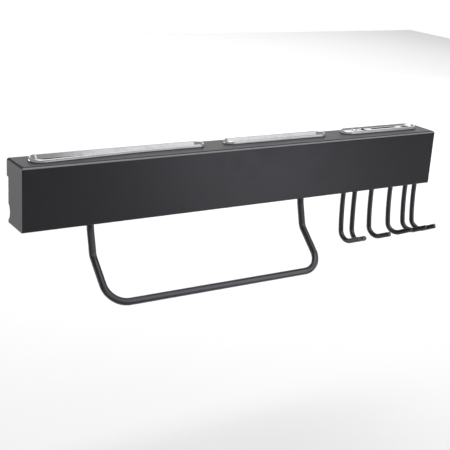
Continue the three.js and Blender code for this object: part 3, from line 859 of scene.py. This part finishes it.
trayScrewLook = {
    "headRadius": 3.7 * mm,
    "headEdge": 0.15 * mm,
    "shankRadius": 1.9 * mm,
    "length": 7.0 * mm,
    "point": 0.6 * mm,
    "socketFlats": 2.5 * mm,
    "socketDepth": 1.2 * mm,
}


def makeTrayScrews():
    look = trayScrewLook
    head, shank, length = look["headRadius"], look["shankRadius"], look["length"]
    edge, point = look["headEdge"], look["point"]
    sink = head - shank + 0.1 * mm
    screw = turnedPiece("trayScrew", [
        (0, 0), (head - edge, 0), (head, edge), (shank, sink), (shank, length - point),
        (shank - point, length), (0, length)], (0, 0, 0), 40)
    corner = look["socketFlats"] / 2 / math.cos(math.pi / 6)
    cutAway(screw, addDrum("cutter", corner, (0, 0, 0), look["socketDepth"] * 2, "Z", 6))
    shade(screw, 32)
    for number in (1, 2, 3, 4):
        low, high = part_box(f"tray_screw_{number}")
        copied = addCopy(screw, f"trayScrew{number}", ((low.x + high.x) / 2, (low.y + high.y) / 2, low.z))
        mount(copied, zincPlate, "zinc_steel", "rail", f"tray_screw_{number}")
    bpy.data.objects.remove(screw)


makeTrayScrews()
print("tray and its screws made")


# towel bar: a rod bent into a sloping U, with its legs through the tray

barLook = {
    "radius": 4.1 * mm,
    "legX": trayLook["legX"],
    "legY": trayLook["legY"],
    "topZ": -46 * mm,
    "upright": 17 * mm,
    "lean": 16,
    "leanRadius": 43 * mm,
    "drop": 22.6 * mm,
    "elbowRadius": 12 * mm,
    "slope": 41.4,
    "reach": 56.8 * mm,
    "cornerRadius": 24.3 * mm,
    "endChamfer": 0.6 * mm,
}


def makeTowelBar():
    look = barLook
    left, right = look["legX"]
    slope = math.radians(look["slope"])
    face = Vector((0, -math.sin(slope), math.cos(slope)))  # square to the U's sloping plane
    elbow = 90 - look["slope"] - look["lean"]
    run = look["reach"] - look["cornerRadius"]
    route = startRod("towelBar", look["radius"], (left, look["legY"], look["topZ"]), (0, 0, -1), 32)
    goStraight(route, look["upright"])
    goRound(route, along, -look["lean"], look["leanRadius"], 8)
    goStraight(route, look["drop"])
    goRound(route, along, -elbow, look["elbowRadius"], 8)
    goStraight(route, run)
    goRound(route, face, 90, look["cornerRadius"], 16)
    goStraight(route, right - left - 2 * look["cornerRadius"])
    goRound(route, face, 90, look["cornerRadius"], 16)
    goStraight(route, run)
    goRound(route, along, elbow, look["elbowRadius"], 8)
    goStraight(route, look["drop"])
    goRound(route, along, look["lean"], look["leanRadius"], 8)
    goStraight(route, look["upright"])
    piece = closeRod(route)
    easeEdges(piece, look["endChamfer"], 2, 50)
    shade(piece, 40)
    return mount(piece, rodCoat, "black_rod", "rail", "towel_bar")


makeTowelBar()
print("towel bar made")


# nuts and washers, each made once and copied to both legs

nutLook = {
    "corner": 6.5 * mm / math.cos(math.pi / 6),
    "cornerEase": 0.5 * mm,         # the corners are turned down to a cone at both faces
    "coneSpare": 0.05 * mm,
    "bore": 4.4 * mm,
    "edge": 0.15 * mm,
    "washerRadius": 8 * mm,
    "washerEdge": 0.25 * mm,
}


def placePair(piece, name, node):
    for side in ("left", "right"):
        low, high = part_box(f"{node}_{side}")
        copied = addCopy(piece, f"{name}{side.title()}", (low + high) / 2)
        mount(copied, zincPlate, "zinc_steel", "rail", f"{node}_{side}")
    bpy.data.objects.remove(piece)


def makeNuts(name, node):
    look = nutLook
    low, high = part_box(f"{node}_left")
    height, half = high.z - low.z, (high.z - low.z) / 2
    nut = addDrum(name, look["corner"], (0, 0, 0), height, "Z", 6, math.pi / 6)
    radius, ease, over = look["corner"] + look["coneSpare"], look["cornerEase"], 0.5 * mm
    tip = radius - 2 * (ease + over)
    cone = turnedPiece("cutter", [(0, -half - over), (tip, -half - over), (radius, -half + ease),
                                  (radius, half - ease), (tip, half + over), (0, half + over)], (0, 0, 0), 48)
    cutAway(nut, cone, "INTERSECT")
    cutAway(nut, addDrum("cutter", look["bore"], (0, 0, 0), height * 2, "Z", 40))
    easeEdges(nut, look["edge"], 2, 28)
    shade(nut, 25)
    placePair(nut, name, node)


def makeWashers():
    look = nutLook
    low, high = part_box("bar_washer_left")
    half = (high.z - low.z) / 2
    bore, rim, edge = look["bore"], look["washerRadius"], look["washerEdge"]
    washer = turnedPiece("barWasher", [
        (bore, -half), (rim - edge, -half), (rim, -half + edge), (rim, half - edge), (rim - edge, half),
        (bore, half), (bore, -half)], (0, 0, 0), 48)
    shade(washer, 30)
    placePair(washer, "barWasher", "bar_washer")


makeNuts("barNut", "bar_nut")
makeNuts("barJamNut", "bar_jam_nut")
makeWashers()
print("nuts and washers made")


# hooks: a bowed shank, a bend and a rising foot, which turn in a nylon glide and hang by a cap

hookLook = {
    "radius": 3.1 * mm,
    "y": trayLook["hookY"],
    "topZ": -50.8 * mm,
    "shank": 17.2 * mm,
    "bowRadius": 397 * mm,
    "bow": 6.2,
    "bendRadius": 12.2 * mm,
    "rise": 24.8,
    "foot": 17.2 * mm,
    "endRound": 0.7 * mm,
    "places": ((146.4 * mm, 7), (164.7 * mm, -9), (192.1 * mm, 15),         # x and heading in degrees
               (223.7 * mm, 31), (249.3 * mm, 29.5), (265.2 * mm, 29.5)),
}
glideLook = {
    "bore": 3.4 * mm,
    "neck": 4.0 * mm,
    "flange": 5.7 * mm,
    "thick": 1.7 * mm,
    "edge": 0.35 * mm,
}
capLook = {
    "rim": 5.2 * mm,
    "edge": 0.3 * mm,
    "roof": 0.3 * mm,               # clear of the hook's top
    # the crown's way in from the rim and down from the top
    "crown": ((0, 1.6 * mm), (0.4 * mm, 0.9 * mm), (1.4 * mm, 0.35 * mm), (3.0 * mm, 0.1 * mm)),
}


def makeHook():
    look = hookLook
    route = startRod("hook", look["radius"], (0, 0, look["topZ"]), (0, 0, -1), 28)
    goStraight(route, look["shank"])
    goRound(route, along, -look["bow"], look["bowRadius"], 8)
    goRound(route, along, -(90 + look["rise"] - look["bow"]), look["bendRadius"], 20)
    goStraight(route, look["foot"])
    hook = closeRod(route)
    easeEdges(hook, look["endRound"], 3, 50)
    shade(hook, 40)
    return hook


def makeGlide():
    look = glideLook
    low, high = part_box("hook_glide_1")
    height = high.z - low.z
    flange, neck, bore, thick, edge = (look[size] for size in ("flange", "neck", "bore", "thick", "edge"))
    glide = turnedPiece("hookGlide", [
        (bore, 0), (flange - edge, 0), (flange, edge), (flange, thick - edge / 2), (flange - edge / 2, thick),
        (neck, thick), (neck, height - thick), (flange - edge / 2, height - thick),
        (flange, height - thick + edge / 2), (flange, height - edge), (flange - edge, height), (bore, height),
        (bore, 0)], (0, 0, 0), 48)
    shade(glide, 30)
    return glide


def makeCap():
    look = capLook
    low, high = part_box("hook_cap_1")
    rim, edge, bore = look["rim"], look["edge"], glideLook["bore"]
    tall = high.z - low.z
    roof = hookLook["topZ"] + look["roof"] - low.z
    crown = [(rim - inward, tall - down) for inward, down in look["crown"]]
    cap = turnedPiece("hookCap", [
        (0, roof), (bore, roof), (bore, 0), (rim - edge, 0), (rim, edge), *crown, (0, tall)], (0, 0, 0), 40)
    shade(cap, 30)
    return cap


def placeHooks():
    hook, glide, cap = makeHook(), makeGlide(), makeCap()
    y = hookLook["y"]
    glideZ, capZ = (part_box(node)[0].z for node in ("hook_glide_1", "hook_cap_1"))
    for number, (x, heading) in enumerate(hookLook["places"], 1):
        body = f"hook_{number}"
        rod = addCopy(hook, f"hook{number}", (x, y, 0), heading)
        mount(rod, rodCoat, "black_rod", body, f"hook_{number}")
        bush = addCopy(glide, f"hookGlide{number}", (x, y, glideZ))
        mount(bush, blackNylon, "black_nylon", f"glide_{number}", f"hook_glide_{number}")
        button = addCopy(cap, f"hookCap{number}", (x, y, capZ))
        mount(button, zincPlate, "zinc_steel", body, f"hook_cap_{number}")
    for piece in (hook, glide, cap):
        bpy.data.objects.remove(piece)


placeHooks()
print("hooks made")


# rubber pads behind the end plates

padLook = {
    "edge": 0.4 * mm,
    # the worn edge's way in from the side and from the wall face
    "wornEdge": ((0.1 * mm, 0.9 * mm), (0.9 * mm, 0.1 * mm), (1.6 * mm, 0)),
}


def makePads():
    look = padLook
    low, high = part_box("wall_pad_left")
    radius, thick = (high.x - low.x) / 2, high.y - low.y
    worn = [(radius - inward, thick - back) for inward, back in look["wornEdge"]]
    edge = look["edge"]
    pad = turnedPiece("wallPad", [(0, 0), (radius - edge, 0), (radius, edge), *worn, (0, thick)], (0, 0, 0), 40)
    pad.rotation_euler = (-math.pi / 2, 0, 0)
    settle(pad)
    shade(pad, 30)
    for side in ("left", "right"):
        low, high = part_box(f"wall_pad_{side}")
        middle = (low + high) / 2
        copied = addCopy(pad, f"wallPad{side.title()}", (middle.x, low.y, middle.z))
        mount(copied, padRubber, "black_rubber", "rail", f"wall_pad_{side}")
    bpy.data.objects.remove(pad)


makePads()
print("wall pads made")


# floor, light and camera

studio = {
    "floorZ": -0.42,
    "floorSize": 7.0,
    "floorColour": (0.92, 0.92, 0.92, 1),
    "floorRoughness": 0.95,
    "floorSpecular": 0.1,
    "ambient": 0.49,
    "softboxes": (
        # name, place, aim, width, height, spread, watts
        ("backSoftbox", (1.5, 2.4, 0.75), (0.2, 0, 0), 2.6, 1.3, 180, 8.6),
        ("floorSoftbox", (1.2, 2.0, 2.6), (1.2, 2.0, -0.42), 4.4, 5.4, 76, 58),
        ("leftSoftbox", (-1.3, 1.2, -0.1), (-0.28, -0.02, -0.02), 0.6, 0.6, 120, 1.7),
        ("keySoftbox", (0.85, -0.85, 1.05), (0, -0.04, 0), 0.6, 0.9, 90, 0.32),
        ("frontSoftbox", (0.85, -1.3, 0.55), (0, -0.04, 0), 0.9, 0.5, 180, 0.5),
        ("lowSoftbox", (0.62, -1.0, -0.38), (0, -0.04, -0.02), 0.30, 0.5, 90, 0.6),
    ),
    "cameraPlace": (-0.62152, -0.94858, 0.28359),
    "cameraRight": (0.84841, -0.52526, 0.06560),
    "cameraUp": (0.11587, 0.30519, 0.94522),
    "lens": 78.5,
}


def makeFloor():
    look = studio
    deselectAll()
    bpy.ops.mesh.primitive_plane_add(size=look["floorSize"], location=(0, 0, look["floorZ"]))
    floor = bpy.context.object
    floor.name = "studioFloor"
    material, _, shader, _ = newMaterial("floorPaper")
    shader.inputs["Base Color"].default_value = look["floorColour"]
    shader.inputs["Roughness"].default_value = look["floorRoughness"]
    shader.inputs["Specular IOR Level"].default_value = look["floorSpecular"]
    floor.data.materials.append(material)


def makeWorld():  # plain white to look at, and weaker as a light
    world = bpy.data.worlds.new("studioWorld")
    bpy.context.scene.world = world
    world.use_nodes = True
    tree = world.node_tree
    tree.nodes.clear()
    lit = tree.nodes.new("ShaderNodeBackground")
    lit.inputs["Strength"].default_value = studio["ambient"]
    seen = tree.nodes.new("ShaderNodeBackground")
    seen.inputs["Color"].default_value = (1, 1, 1, 1)
    path = tree.nodes.new("ShaderNodeLightPath")
    mix = tree.nodes.new("ShaderNodeMixShader")
    out = tree.nodes.new("ShaderNodeOutputWorld")
    tree.links.new(path.outputs["Is Camera Ray"], mix.inputs[0])
    tree.links.new(lit.outputs["Background"], mix.inputs[1])
    tree.links.new(seen.outputs["Background"], mix.inputs[2])
    tree.links.new(mix.outputs["Shader"], out.inputs["Surface"])


def makeCamera():
    look = studio
    right, upward = Vector(look["cameraRight"]), Vector(look["cameraUp"])
    back = right.cross(upward)
    turn = Matrix((right, upward, back)).transposed().to_4x4()
    data = bpy.data.cameras.new("camera")
    data.lens = look["lens"]
    data.sensor_width = 36
    camera = bpy.data.objects.new("camera", data)
    camera.matrix_world = Matrix.Translation(look["cameraPlace"]) @ turn
    bpy.context.scene.collection.objects.link(camera)
    bpy.context.scene.camera = camera
    bpy.context.scene.view_settings.view_transform = "Standard"


def addSoftbox(name, place, aim, width, height, spread, power):
    data = bpy.data.lights.new(name, "AREA")
    data.shape = "RECTANGLE"
    data.size = width
    data.size_y = height
    data.spread = math.radians(spread)
    data.energy = power
    light = bpy.data.objects.new(name, data)
    light.location = place
    light.rotation_euler = (Vector(aim) - Vector(place)).to_track_quat("-Z", "Y").to_euler()
    light.visible_camera = False
    bpy.context.scene.collection.objects.link(light)


makeFloor()
makeWorld()
makeCamera()
for softbox in studio["softboxes"]:
    addSoftbox(*softbox)
print("studio made")
